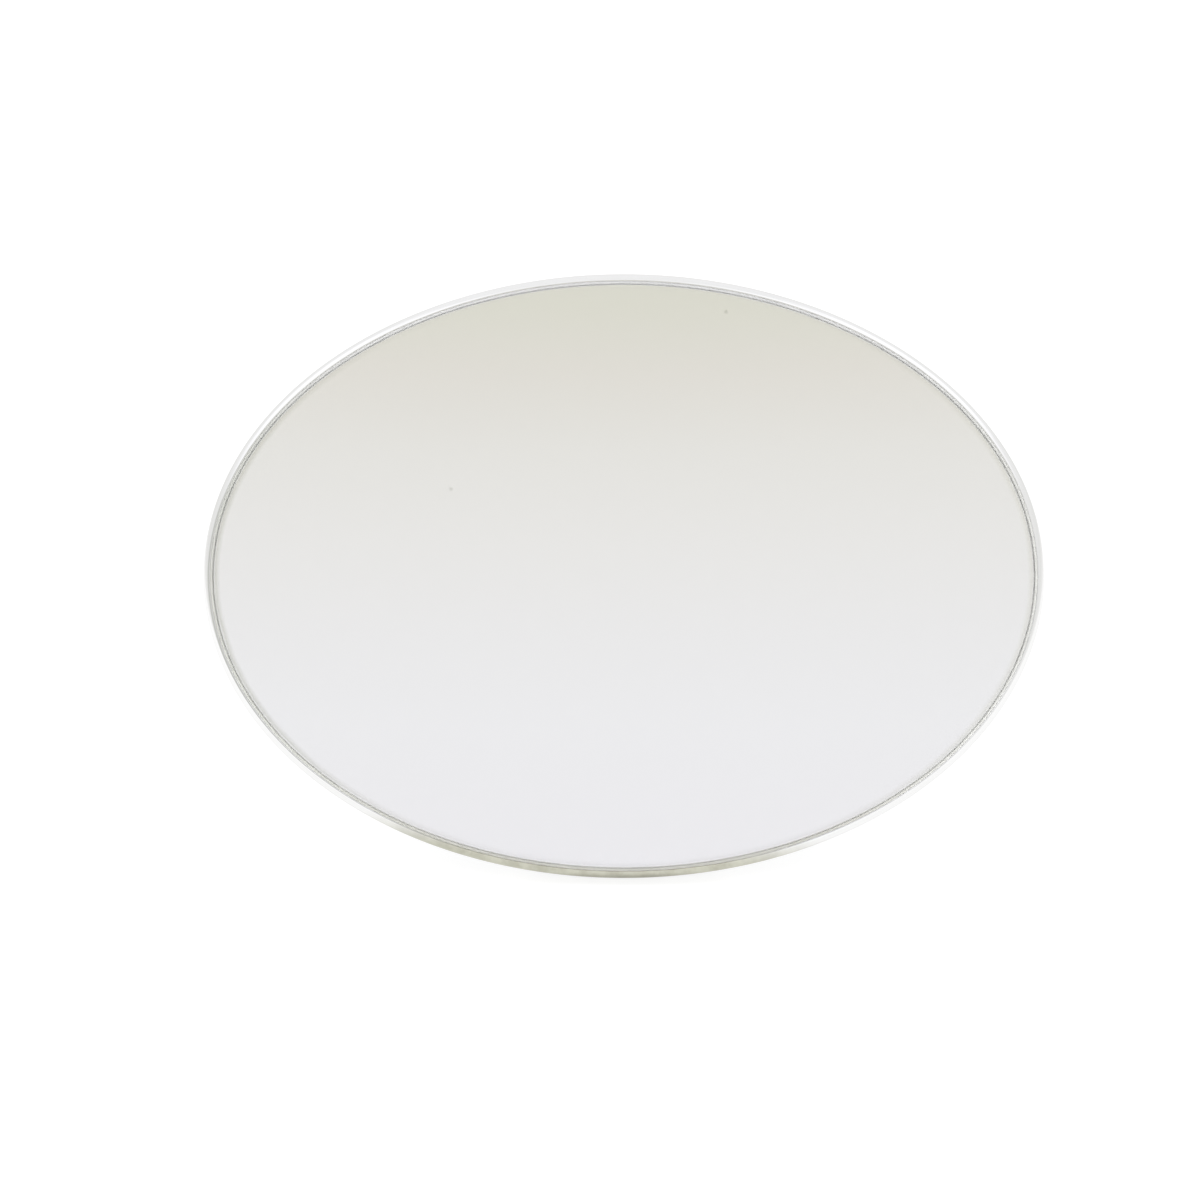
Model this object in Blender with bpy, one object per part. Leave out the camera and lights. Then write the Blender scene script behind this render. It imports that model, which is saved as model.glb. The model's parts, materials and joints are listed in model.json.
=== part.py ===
"""Oval countertop mirror: a silvered glass in a thin polished rim, standing on a folding easel leg.

Two groups of pieces are modelled, each in its own frame and each under its own empty:
  head - the rim, glass and back plate. X runs to the right, Y from the face towards the back and
         Z up the glass, from the middle of the oval on the rim's front plane.
  leg  - the easel leg. X runs along the hinge, Z up the leg and Y away from the mirror, from the
         middle of the hinge axis.
The finished mirror stands on Z = 0, centred on the Z axis, with its face towards -Y.
"""

import math

import bmesh
import bpy
from mathutils import Matrix, Vector

MM = 0.001

# Driving dimensions
OVAL_WIDTH = 280 * MM
OVAL_HEIGHT = 201 * MM
LEAN = math.radians(18)  # the glass leans back from the vertical
LEG_ANGLE = math.radians(12)  # the leg stands out from the vertical, the other way
HINGE_RISE = 30 * MM  # hinge axis above the middle of the oval
SEAT_GAP = 0.2 * MM  # between two pieces that lie on each other
EDGE_GAP = 0.4 * MM  # between the back plate's edge and the rim's wall
OVAL_STEPS = 96
TURN_STEPS = 24

# Rim: a strip rolled over the glass in front, with tabs bent in behind
RIM_SHEET = 0.8 * MM
RIM_BEND = 2.6 * MM  # outside radius, which is also how far the rim covers in front
LIP_GAP = 0.3 * MM  # between the rolled edge and the glass
RIM_DEPTH = 9 * MM
TAB_COUNT = 12
TAB_LENGTH = 7 * MM
TAB_ROOT = 1.5 * MM  # how far a tab's root runs up inside the wall
TAB_INSET = 0.2 * MM  # the root's two faces, within the wall's thickness

# The stack inside the rim, front to back
GLASS_FRONT = RIM_SHEET + LIP_GAP
GLASS_EDGE = 1.5 * MM
GLASS_THICK = 3 * MM
GLASS_SEAM = 0.5 * MM  # ground corner of the glass
SILVER_FRONT = GLASS_FRONT + GLASS_THICK + SEAT_GAP
SILVER_THICK = 0.2 * MM
SILVER_EDGE = 2 * MM
FOAM_FRONT = SILVER_FRONT + SILVER_THICK + SEAT_GAP
PLATE_SHEET = 1 * MM
PLATE_FRONT = RIM_DEPTH - SEAT_GAP - PLATE_SHEET
FOAM_BACK = PLATE_FRONT - SEAT_GAP
FOAM_EDGE = 2 * MM
FLANGE_WIDTH = 7.3 * MM  # flat edge of the back plate, under the tabs
PAN_SLOPE = 4 * MM
PAN_RISE = 3 * MM
PAN_BACK = PLATE_FRONT + PLATE_SHEET + PAN_RISE
PAN_INNER = PAN_BACK - PLATE_SHEET

# Hinge bracket, riveted to the pan
BRACKET_SHEET = 1.5 * MM
BRACKET_WIDTH = 56 * MM
BRACKET_HEIGHT = 28 * MM
BRACKET_CORNER = 4 * MM
BRACKET_FRONT = PAN_BACK + SEAT_GAP
BRACKET_BACK = BRACKET_FRONT + BRACKET_SHEET
EYE_RADIUS = 4.6 * MM
EYE_CLEARANCE = 0.5 * MM
HINGE_DEPTH = BRACKET_BACK + EYE_RADIUS + EYE_CLEARANCE
EAR_OUTER = 14.6 * MM
EAR_INNER = EAR_OUTER - BRACKET_SHEET
EAR_ROOT = 0.4 * MM  # how deep an ear is rooted in the plate
WINDOW_CORNER = 1 * MM
RIVET_X = 22.5 * MM
RIVET_Z = 8.5 * MM
RIVET_RADIUS = 1.6 * MM
RIVET_HOLE = 1.85 * MM
RIVET_HEAD = 3 * MM
RIVET_DOME = 1.3 * MM  # height of the head
RIVET_TAIL = 2.8 * MM
RIVET_UPSET = 1 * MM  # height of the tail

# Easel leg: a pressed channel whose open side faces the mirror
LEG_SHEET = 1.2 * MM
LEG_TOP_HALF = 18 * MM  # half its width at the hinge
LEG_FOOT_HALF = 36 * MM  # half its width at the counter
LEG_TAIL = 10.5 * MM  # above the axis; it meets the bracket when the leg is fully open
LEG_END = -121.5 * MM
WEB_INNER = 5 * MM
WEB_OUTER = WEB_INNER + LEG_SHEET
FLANGE_EDGE = 0.2 * MM
RIB_HALF = 9 * MM
RIB_SIDE = 1.6 * MM
RIB_RISE = 1.2 * MM
RIB_ENDS = (-24 * MM, -98 * MM)
RIB_RUN_OUT = 4 * MM
FLARE_START = -12 * MM
FLARE_LENGTH = 94 * MM

# Hinge hardware: an M4 bolt through bracket, washers and leg
BOLT_RADIUS = 2 * MM
BOLT_HOLE = 2.15 * MM
WASHER_BORE = 2.2 * MM
WASHER_RADIUS = 4.4 * MM
SPACER_RADIUS = 3.5 * MM
PLAIN_RADIUS = 4.5 * MM
PLAIN_THICK = 0.8 * MM
SPRING_RADIUS = 4 * MM
SPRING_SHEET = 0.5 * MM
SPRING_DISH = 0.5 * MM
NUT_HALF = 3.5 * MM  # half the width across flats
NUT_HEIGHT = 3.2 * MM
COLLAR_RADIUS = 3.1 * MM
COLLAR_END = 4.5 * MM
BOLT_TIP = 5.8 * MM  # nut's face to the bolt's end
BOLT_HEAD_RADIUS = 3.8 * MM
BOLT_HEAD_HEIGHT = 2.2 * MM
SOCKET_RADIUS = 1.45 * MM  # across corners, halved
SOCKET_DEPTH = 1.3 * MM
BORE_REACH = 20 * MM  # half the length of a cutter along the hinge axis
CUT = 1 * MM  # how far a cutter runs past what it cuts

# Rubber feet
FOOT_HALF = 18 * MM
FOOT_BACK = 17.5 * MM
RIM_CLEARANCE = 0.7 * MM  # counter to the rim's lowest edge
FOOT_TOP = -79.5 * MM
FOOT_STEP = -88.2 * MM  # where it clears the back plate's slope
FOOT_RIM = -92.3 * MM  # its top behind the rim
FOOT_SLANT = (2 * MM, 4.5 * MM)  # sloped corner on top, at the back
STEM_Z = -83.5 * MM
STEM_HOLE = 2.8 * MM
STEM_NECK = 2.5 * MM
STEM_BARB = 3.4 * MM
STEM_TIP = 2 * MM
BARB_LENGTH = 1.4 * MM
SOFT_EDGE = 0.5 * MM  # rounding on rubber
BOOT_INNER_X = 23 * MM
BOOT_OUTER_X = 37.6 * MM
BOOT_TOP = -110 * MM
BOOT_FRONT = -1.6 * MM
BOOT_BACK = WEB_OUTER + 1.8 * MM
BOOT_POCKET = 5 * MM  # how far the pocket's cutter runs above the boot

# The counter, as a height measured from the middle of the oval
COUNTER = -(OVAL_HEIGHT / 2) * math.cos(LEAN) - RIM_DEPTH * math.sin(LEAN) - RIM_CLEARANCE


def clear_scene():
    for obj in list(bpy.data.objects):
        bpy.data.objects.remove(obj)


def finish(name, colour, metallic, roughness):
    """A Principled material."""
    material = bpy.data.materials.new(name)
    material.use_nodes = True
    shader = material.node_tree.nodes["Principled BSDF"]
    shader.inputs["Base Color"].default_value = (*colour, 1)
    shader.inputs["Metallic"].default_value = metallic
    shader.inputs["Roughness"].default_value = roughness
    return material


def group(name, location, tilt):
    """An empty that carries one group's pieces, turned about X."""
    empty = bpy.data.objects.new(name, None)
    empty.location = location
    empty.rotation_euler = (tilt, 0, 0)
    bpy.context.scene.collection.objects.link(empty)
    return empty


def add(name, bm, parent, material=None):
    """Makes bm an object with outward faces, shaded smooth between its sharp edges."""
    bmesh.ops.recalc_face_normals(bm, faces=bm.faces)
    mesh = bpy.data.meshes.new(name)
    bm.to_mesh(mesh)
    bm.free()
    mesh.shade_smooth()
    mesh.set_sharp_from_angle(angle=math.radians(35))
    obj = bpy.data.objects.new(name, mesh)
    bpy.context.scene.collection.objects.link(obj)
    obj.parent = parent
    if material:
        mesh.materials.append(material)
    return obj


def cut(obj, bm, operation="DIFFERENCE"):
    """Cuts bm from obj, or joins it on, with an exact Boolean. The helper stays hidden."""
    helper = add(f"{obj.name}_{operation.lower()}_{len(obj.modifiers)}", bm, obj.parent)
    helper.hide_render = True
    helper.display_type = "WIRE"
    modifier = obj.modifiers.new(operation.title(), "BOOLEAN")
    modifier.operation = operation
    modifier.object = helper


def join(bm, *others):
    """Puts the other bmeshes' bodies beside bm's own."""
    for other in others:
        mesh = bpy.data.meshes.new("joining")
        other.to_mesh(mesh)
        other.free()
        bm.from_mesh(mesh)
        bpy.data.meshes.remove(mesh)
    return bm


def loft(rings, closed=False):
    """Skins a list of rings, with a cap on each end or, closed, joined from last to first."""
    bm = bmesh.new()
    grid = [[bm.verts.new(point) for point in ring] for ring in rings]
    pairs = list(zip(grid, grid[1:]))
    if closed:
        pairs.append((grid[-1], grid[0]))
    for low, high in pairs:
        for i in range(len(low)):
            j = (i + 1) % len(low)
            bm.faces.new((low[i], low[j], high[j], high[i]))
    if not closed:
        bm.faces.new(grid[0])
        bm.faces.new(grid[-1])
    bmesh.ops.recalc_face_normals(bm, faces=bm.faces)
    return bm


def oval_point(step, inset, depth):
    """A point on the oval at this step, moved in along the outline's normal."""
    turn = 2 * math.pi * step / OVAL_STEPS
    half_width, half_height = OVAL_WIDTH / 2, OVAL_HEIGHT / 2
    outline = Vector((half_width * math.cos(turn), 0, half_height * math.sin(turn)))
    normal = Vector((math.cos(turn) / half_width, 0, math.sin(turn) / half_height)).normalized()
    return outline - inset * normal + Vector((0, depth, 0))


def oval_ring(inset, depth):
    return [oval_point(step, inset, depth) for step in range(OVAL_STEPS)]


def oval_body(section, closed=False):
    """A body that follows the oval, from its section as (inset, depth) points."""
    return loft([oval_ring(inset, depth) for inset, depth in section], closed)


def arc(centre, radius, start, end, steps):
    """Points on an arc, with its angles in degrees."""
    for step in range(steps + 1):
        turn = math.radians(start + (end - start) * step / steps)
        yield centre[0] + radius * math.cos(turn), centre[1] + radius * math.sin(turn)


def turned(profile, axis, closed=False, steps=TURN_STEPS):
    """Turns (radius, distance along the axis) points about the X or Y axis."""
    rings = []
    for radius, along in profile:
        ring = []
        for step in range(steps):
            turn = 2 * math.pi * step / steps
            a, b = radius * math.cos(turn), radius * math.sin(turn)
            ring.append(Vector((along, a, b)) if axis == "X" else Vector((a, along, b)))
        rings.append(ring)
    return loft(rings, closed)


def washer_shape(bore, radius, start, end, dish=0.0):
    """A flat washer about X, or a dished one whose bore stands further along by dish."""
    profile = [(bore, start + dish), (radius, start), (radius, end), (bore, end + dish)]
    return turned(profile, "X", closed=True)


def prism(section, axis, start, end):
    """Pushes a flat outline along X, Y or Z. Its two coordinates are the other axes, in order."""
    def place(point, along):
        values = list(point)
        values.insert("XYZ".index(axis), along)
        return Vector(values)

    return loft([[place(point, along) for point in section] for along in (start, end)])


def rounded_rectangle(half_width, half_height, corner, steps=5):
    """The outline of a rectangle with round corners."""
    outline = []
    for quarter, (sx, sz) in enumerate(((1, 1), (-1, 1), (-1, -1), (1, -1))):
        centre = (sx * (half_width - corner), sz * (half_height - corner))
        outline += arc(centre, corner, 90 * quarter, 90 * quarter + 90, steps)
    return outline


def moved(bm, x=0.0, y=0.0, z=0.0):
    bmesh.ops.translate(bm, verts=bm.verts, vec=(x, y, z))
    return bm


def softened(bm):
    """Rounds every edge of a moulded block."""
    bmesh.ops.bevel(bm, geom=bm.edges, offset=SOFT_EDGE, segments=2, profile=0.5, affect="EDGES")
    return bm


def rim_band(head, material):
    """A rolled strip: the wall, and a round bend that ends in a cut edge over the glass."""
    centre = (RIM_BEND, RIM_BEND)
    section = list(arc(centre, RIM_BEND, 180, 270, 8))
    section += arc(centre, RIM_BEND - RIM_SHEET, 270, 180, 6)
    section += [(RIM_SHEET, RIM_DEPTH), (0, RIM_DEPTH)]
    rim = add("rim_band", oval_body(section, closed=True), head, material)
    cut(rim, rim_tabs(), "UNION")


def rim_tabs():
    """Tabs bent in over the back plate. Each spans one step of the oval, rooted inside the wall."""
    outer, inner = TAB_INSET, RIM_SHEET - TAB_INSET
    root = RIM_DEPTH - TAB_ROOT
    back = RIM_DEPTH + RIM_SHEET
    section = [(outer, root), (outer, back - RIM_SHEET / 2), (RIM_SHEET, back), (TAB_LENGTH, back)]
    section += [(TAB_LENGTH, RIM_DEPTH), (RIM_SHEET + TAB_INSET / 2, RIM_DEPTH)]
    section += [(inner, RIM_DEPTH - TAB_INSET - TAB_INSET / 2), (inner, root)]
    tabs = bmesh.new()
    for tab in range(TAB_COUNT):
        first = round(OVAL_STEPS * (tab + 0.5) / TAB_COUNT)
        ends = [[oval_point(step, *point) for point in section] for step in (first - 0.5, first + 0.5)]
        join(tabs, loft(ends))
    return tabs


def mirror_glass(head, material):
    back = GLASS_FRONT + GLASS_THICK
    section = [(GLASS_EDGE + GLASS_SEAM, GLASS_FRONT), (GLASS_EDGE, GLASS_FRONT + GLASS_SEAM)]
    section += [(GLASS_EDGE, back - GLASS_SEAM), (GLASS_EDGE + GLASS_SEAM, back)]
    add("mirror_glass", oval_body(section), head, material)


def oval_sheet(name, inset, front, back, head, material):
    add(name, oval_body([(inset, front), (inset, back)]), head, material)


def back_plate(head, material):
    """A pressed pan: a flat flange under the tabs, a sloping wall and a raised middle."""
    edge = RIM_SHEET + EDGE_GAP
    slope_start, slope_end = edge + FLANGE_WIDTH, edge + FLANGE_WIDTH + PAN_SLOPE
    back = PLATE_FRONT + PLATE_SHEET
    outer = [(slope_end, back + PAN_RISE), (slope_start, back), (edge, back)]
    bend = 0.3 * PLATE_SHEET  # keeps the sheet about as thick on the slope
    inner = [(inset + (bend if inset > edge else 0), depth - PLATE_SHEET) for inset, depth in outer]
    plate = add("back_plate", oval_body(outer + inner[::-1]), head, material)
    holes = [
        moved(drill(RIVET_HOLE, PLATE_FRONT, PAN_BACK), x=x, z=HINGE_RISE + z)
        for x, z in rivet_places()
    ]
    holes.append(moved(drill(STEM_HOLE, PLATE_FRONT, PAN_BACK), z=STEM_Z))
    cut(plate, join(bmesh.new(), *holes))


def drill(radius, start, end):
    """A cutter for a round hole along Y, a little longer than the wall."""
    return turned([(radius, start - 2 * CUT), (radius, end + 2 * CUT)], "Y")


def hinge_bore():
    """A cutter along the hinge axis."""
    return turned([(BOLT_HOLE, -BORE_REACH), (BOLT_HOLE, BORE_REACH)], "X")


def rivet_places():
    return [(x, z) for x in (-RIVET_X, RIVET_X) for z in (RIVET_Z, -RIVET_Z)]


def hinge_bracket(head, material):
    """A plate with two ears lanced out of its middle and bent up to hold the hinge bolt."""
    outline = rounded_rectangle(BRACKET_WIDTH / 2, BRACKET_HEIGHT / 2, BRACKET_CORNER)
    bracket = add("hinge_bracket", prism(outline, "Y", BRACKET_FRONT, BRACKET_BACK), head, material)
    bracket.location = (0, 0, HINGE_RISE)
    ear_root = BRACKET_FRONT + EAR_ROOT
    ear = list(arc((HINGE_DEPTH, 0), EYE_RADIUS, -90, 90, 10))
    ear += [(ear_root, EYE_RADIUS), (ear_root, -EYE_RADIUS)]
    ears = [prism(ear, "X", side * EAR_INNER, side * EAR_OUTER) for side in (-1, 1)]
    window = rounded_rectangle(EAR_INNER - SEAT_GAP, EYE_RADIUS, WINDOW_CORNER, 2)
    window = prism(window, "Y", BRACKET_FRONT - CUT, BRACKET_BACK + CUT)
    holes = [moved(drill(RIVET_HOLE, BRACKET_FRONT, BRACKET_BACK), x=x, z=z) for x, z in rivet_places()]
    for shape, operation in (
        (join(bmesh.new(), *ears), "UNION"),
        (join(bmesh.new(), window, *holes), "DIFFERENCE"),
        (moved(hinge_bore(), y=HINGE_DEPTH), "DIFFERENCE"),
    ):
        cut(bracket, moved(shape, z=HINGE_RISE), operation)


def bracket_rivets(head, material):
    """Dome rivets through bracket and pan, upset on the inside."""
    head_seat, tail_seat = BRACKET_BACK + SEAT_GAP, PAN_INNER - SEAT_GAP
    dome = ((0.33, 1), (0.73, 0.77), (0.97, 0.31), (1, 0))  # shares of the head's radius and height
    upset = ((1, 0), (0.93, 0.8), (0.5, 1))  # the same for the tail
    profile = [(RIVET_HEAD * out, head_seat + RIVET_DOME * up) for out, up in dome]
    profile += [(RIVET_RADIUS, head_seat), (RIVET_RADIUS, tail_seat)]
    profile += [(RIVET_TAIL * out, tail_seat - RIVET_UPSET * down) for out, down in upset]
    for number, (x, z) in enumerate(rivet_places(), 1):
        rivet = add(f"bracket_rivet_{number}", turned(profile, "Y", steps=16), head, material)
        rivet.location = (x, 0, HINGE_RISE + z)


def front_foot(head, material):
    """A rubber block behind the lowest part of the rim, held by a barbed stem in the pan."""
    def counter_at(depth):
        return (COUNTER + depth * math.sin(LEAN)) / math.cos(LEAN)

    front, pan_face = RIM_DEPTH + SEAT_GAP, PAN_BACK + 1.5 * SEAT_GAP
    slant_y, slant_z = FOOT_SLANT
    section = [(front, counter_at(front)), (FOOT_BACK, counter_at(FOOT_BACK))]
    section += [(FOOT_BACK, FOOT_TOP - slant_z), (FOOT_BACK - slant_y, FOOT_TOP), (pan_face, FOOT_TOP)]
    section += [(pan_face, FOOT_STEP), (front, FOOT_RIM)]
    block = softened(prism(section, "X", -FOOT_HALF, FOOT_HALF))
    foot = add("front_foot", block, head, material)
    barb_seat = PAN_INNER - SEAT_GAP
    stem = [(STEM_NECK, pan_face + 2 * CUT), (STEM_NECK, barb_seat)]
    stem += [(STEM_BARB, barb_seat), (STEM_TIP, barb_seat - BARB_LENGTH)]
    cut(foot, moved(turned(stem, "Y", steps=16), z=STEM_Z), "UNION")


def hinge_hardware(head, leg, steel, zinc, nylon):
    """The bolt, nut and springs turn with the leg; the spacer and friction washers stay with the bracket."""
    axis = Vector((0, HINGE_DEPTH, HINGE_RISE))
    tube_end = EAR_INNER - SEAT_GAP
    tube = washer_shape(WASHER_BORE, SPACER_RADIUS, -tube_end, tube_end)
    spacer = add("spacer_tube", tube, head, zinc)
    spacer.location = axis
    for side, name in ((-1, "left"), (1, "right")):
        faces = sorted((side * (EAR_OUTER + SEAT_GAP), side * (LEG_TOP_HALF - LEG_SHEET - SEAT_GAP)))
        washer = add(f"friction_washer_{name}", washer_shape(WASHER_BORE, WASHER_RADIUS, *faces), head, nylon)
        washer.location = axis

    seat = LEG_TOP_HALF + SEAT_GAP
    plain_end = seat + PLAIN_THICK
    add("plain_washer", washer_shape(WASHER_BORE, PLAIN_RADIUS, seat, plain_end), leg, zinc)
    spring_height = SPRING_SHEET + SPRING_DISH
    first = plain_end + SEAT_GAP
    second = first + spring_height + SEAT_GAP
    for number, rim, dish in ((1, first, SPRING_DISH), (2, second + SPRING_DISH, -SPRING_DISH)):
        spring = washer_shape(WASHER_BORE, SPRING_RADIUS, rim, rim + SPRING_SHEET, dish)
        add(f"disc_spring_{number}", spring, leg, steel)
    nut_face = second + spring_height + SEAT_GAP
    lock_nut(leg, zinc, nut_face)
    hinge_bolt(leg, steel, seat, nut_face + BOLT_TIP)


def lock_nut(leg, material, face):
    """A hexagon with a round collar that grips the thread."""
    hexagon = list(arc((0, 0), NUT_HALF / math.cos(math.radians(30)), 0, 300, 5))
    nut = add("lock_nut", prism(hexagon, "X", face, face + NUT_HEIGHT), leg, material)
    chamfer = 0.4 * MM
    collar = [(COLLAR_RADIUS, face + NUT_HEIGHT - CUT), (COLLAR_RADIUS, face + COLLAR_END - chamfer)]
    collar += [(COLLAR_RADIUS - chamfer, face + COLLAR_END)]
    cut(nut, turned(collar, "X"), "UNION")
    cut(nut, turned([(BOLT_HOLE, face - CUT), (BOLT_HOLE, face + COLLAR_END + CUT)], "X"))


def hinge_bolt(leg, material, seat, end):
    """A button-head bolt across the hinge, its head on the left."""
    button = ((0.58, 1), (0.84, 0.73), (1, 0.23), (1, 0))  # shares of the head's radius and height
    profile = [(BOLT_HEAD_RADIUS * out, -seat - BOLT_HEAD_HEIGHT * up) for out, up in button]
    chamfer = 0.4 * MM
    profile += [(BOLT_RADIUS, -seat), (BOLT_RADIUS, end - chamfer), (BOLT_RADIUS - chamfer, end)]
    bolt = add("hinge_bolt", turned(profile, "X"), leg, material)
    socket = list(arc((0, 0), SOCKET_RADIUS, 0, 300, 5))
    top = -seat - BOLT_HEAD_HEIGHT
    cut(bolt, prism(socket, "X", top - CUT, top + SOCKET_DEPTH))


def leg_stations():
    """Heights up the leg, each with its half width, flange edge and rib rise."""
    eye = [
        (EYE_RADIUS * math.cos(turn), -EYE_RADIUS * math.sin(turn))
        for turn in (math.radians(degrees) for degrees in range(20, 161, 20))
    ]
    edges = [(LEG_TAIL, WEB_INNER - 0.6 * MM), (7.5 * MM, WEB_INNER - 0.8 * MM), *eye]
    top, bottom = RIB_ENDS
    rib_top, rib_bottom = top - RIB_RUN_OUT, bottom + RIB_RUN_OUT
    straight = (-10 * MM, -14 * MM, top, rib_top, (top + bottom) / 2, rib_bottom, bottom)
    edges += [(height, FLANGE_EDGE) for height in (*straight, FLARE_START - FLARE_LENGTH, LEG_END)]
    for height, edge in edges:
        flare = min(max((FLARE_START - height) / FLARE_LENGTH, 0), 1)
        half = LEG_TOP_HALF + (LEG_FOOT_HALF - LEG_TOP_HALF) * flare
        rise = RIB_RISE if rib_bottom <= height <= rib_top else 0
        yield height, half, edge, rise


def channel_ring(height, half, edge, rise):
    """The leg's section at one height: two flanges and a web with a raised rib."""
    def side(inset, web, rib_edge):
        return [(half - inset, edge), (half - inset, web), (rib_edge + RIB_SIDE, web), (rib_edge, web + rise)]

    outer = side(0, WEB_OUTER, RIB_HALF)
    inner = side(LEG_SHEET, WEB_INNER, RIB_HALF - 0.5 * MM)
    ring = outer + [(-x, y) for x, y in reversed(outer)]
    ring += [(-x, y) for x, y in inner] + list(reversed(inner))
    return [Vector((x, y, height)) for x, y in ring]


def easel_leg(leg, material):
    body = add("easel_leg", loft([channel_ring(*station) for station in leg_stations()]), leg, material)
    cut(body, hinge_bore())


def leg_feet(leg, material, hinge_height):
    """Rubber boots on the leg's two lower corners, flat on the counter when the mirror stands."""
    def counter_at(depth):
        return -(hinge_height + depth * math.sin(LEG_ANGLE)) / math.cos(LEG_ANGLE)

    section = [(BOOT_FRONT, counter_at(BOOT_FRONT)), (BOOT_BACK, counter_at(BOOT_BACK))]
    section += [(BOOT_BACK, BOOT_TOP), (BOOT_FRONT, BOOT_TOP)]
    fit = SEAT_GAP
    outer_x, flange_x = LEG_FOOT_HALF + fit, LEG_FOOT_HALF - LEG_SHEET - fit
    open_x = BOOT_INNER_X - 2 * CUT
    pocket = [(outer_x, FLANGE_EDGE - fit), (outer_x, WEB_OUTER + fit), (open_x, WEB_OUTER + fit)]
    pocket += [(open_x, WEB_INNER - fit), (flange_x, WEB_INNER - fit), (flange_x, FLANGE_EDGE - fit)]
    for side, name in ((-1, "left"), (1, "right")):
        block = prism(section, "X", side * BOOT_INNER_X, side * BOOT_OUTER_X)
        boot = add(f"leg_foot_{name}", softened(block), leg, material)
        outline = [(side * x, y) for x, y in pocket]
        cut(boot, prism(outline, "Z", LEG_END - fit, BOOT_TOP + BOOT_POCKET))


def centre_over_origin(groups):
    """Slides the groups along Y until the finished mirror's box is centred on the origin."""
    bpy.context.view_layer.update()
    graph = bpy.context.evaluated_depsgraph_get()
    depths = []
    for obj in bpy.data.objects:
        if obj.type == "MESH" and not obj.hide_render:
            shape = obj.evaluated_get(graph)
            depths += [(shape.matrix_world @ vertex.co).y for vertex in shape.data.vertices]
    for empty in groups:
        empty.location.y -= (min(depths) + max(depths)) / 2


def main():
    clear_scene()
    chrome = finish("polished_chrome", (0.86, 0.87, 0.88), 1, 0.06)
    glass = finish("clear_glass", (0.88, 0.93, 0.91), 0, 0.02)
    silver = finish("silvering", (0.93, 0.93, 0.92), 1, 0.02)
    foam = finish("grey_foam", (0.12, 0.12, 0.13), 0, 0.9)
    powder = finish("black_powder_coat", (0.03, 0.03, 0.032), 0, 0.45)
    zinc = finish("zinc_plate", (0.62, 0.63, 0.64), 1, 0.32)
    steel = finish("dark_steel", (0.35, 0.35, 0.36), 1, 0.35)
    nylon = finish("white_nylon", (0.85, 0.84, 0.8), 0, 0.45)
    rubber = finish("black_rubber", (0.025, 0.025, 0.027), 0, 0.7)

    head = group("head", (0, 0, -COUNTER), -LEAN)
    axis = Matrix.Rotation(-LEAN, 3, "X") @ Vector((0, HINGE_DEPTH, HINGE_RISE))
    leg = group("leg", head.location + axis, LEG_ANGLE)

    rim_band(head, chrome)
    mirror_glass(head, glass)
    silver_back = SILVER_FRONT + SILVER_THICK
    oval_sheet("silver_backing", SILVER_EDGE, SILVER_FRONT, silver_back, head, silver)
    oval_sheet("foam_pad", FOAM_EDGE, FOAM_FRONT, FOAM_BACK, head, foam)
    back_plate(head, powder)
    hinge_bracket(head, zinc)
    bracket_rivets(head, zinc)
    front_foot(head, rubber)
    hinge_hardware(head, leg, steel, zinc, nylon)
    easel_leg(leg, powder)
    leg_feet(leg, rubber, leg.location.z)
    centre_over_origin((head, leg))


main()
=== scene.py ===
"""Looks for the oval countertop mirror: fine surfaces, materials, soft studio light and a camera.

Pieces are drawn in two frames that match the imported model:
  head - X right, Y from the face to the back, Z up the glass, from the oval's middle on the rim's front
  leg  - X along the hinge, Y away from the mirror, Z up the leg, from the middle of the hinge
"""

import json
import math

import bmesh
import bpy
from mathutils import Matrix, Vector

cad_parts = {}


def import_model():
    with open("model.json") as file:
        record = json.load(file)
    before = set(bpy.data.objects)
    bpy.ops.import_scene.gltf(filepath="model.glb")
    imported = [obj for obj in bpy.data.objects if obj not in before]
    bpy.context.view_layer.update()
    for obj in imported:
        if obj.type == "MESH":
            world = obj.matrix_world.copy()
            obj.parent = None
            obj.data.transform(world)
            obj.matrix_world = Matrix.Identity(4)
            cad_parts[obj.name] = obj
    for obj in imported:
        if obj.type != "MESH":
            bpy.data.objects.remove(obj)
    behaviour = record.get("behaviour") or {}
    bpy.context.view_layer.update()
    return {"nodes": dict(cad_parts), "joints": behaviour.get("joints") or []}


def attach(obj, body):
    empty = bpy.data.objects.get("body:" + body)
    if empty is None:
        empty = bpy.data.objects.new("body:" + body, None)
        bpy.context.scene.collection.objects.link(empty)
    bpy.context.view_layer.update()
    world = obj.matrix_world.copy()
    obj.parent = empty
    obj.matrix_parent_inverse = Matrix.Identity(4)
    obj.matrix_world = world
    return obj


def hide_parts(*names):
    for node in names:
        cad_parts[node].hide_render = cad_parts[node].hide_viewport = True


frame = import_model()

MM = 0.001

# The oval and how it stands
OVAL_WIDTH = 280 * MM
OVAL_HEIGHT = 201 * MM
LEAN = math.radians(18)  # of the glass, back from upright
LEG_ANGLE = math.radians(12)  # of the leg, back from upright
HINGE = Vector(frame["joints"][0]["pos_m"])
HINGE_DEPTH = 18.6 * MM
HINGE_RISE = 30 * MM
HEAD = (
    Matrix.Translation(HINGE)
    @ Matrix.Rotation(-LEAN, 4, "X")
    @ Matrix.Translation((0, -HINGE_DEPTH, -HINGE_RISE))
)
LEG = Matrix.Translation(HINGE) @ Matrix.Rotation(LEG_ANGLE, 4, "X")

# Rim
SHEET = 0.8 * MM
HAIR = 0.03 * MM  # keeps the fine curves inside the coarser solid's outline
ROLL = 2.6 * MM  # outside radius of the bend over the glass
RIM_DEPTH = 9 * MM
RIM_STEPS = 720
TAB_COUNT = 12
TAB_SPAN = 1 / 96  # of a turn
TAB_TIP = 7 * MM

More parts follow.
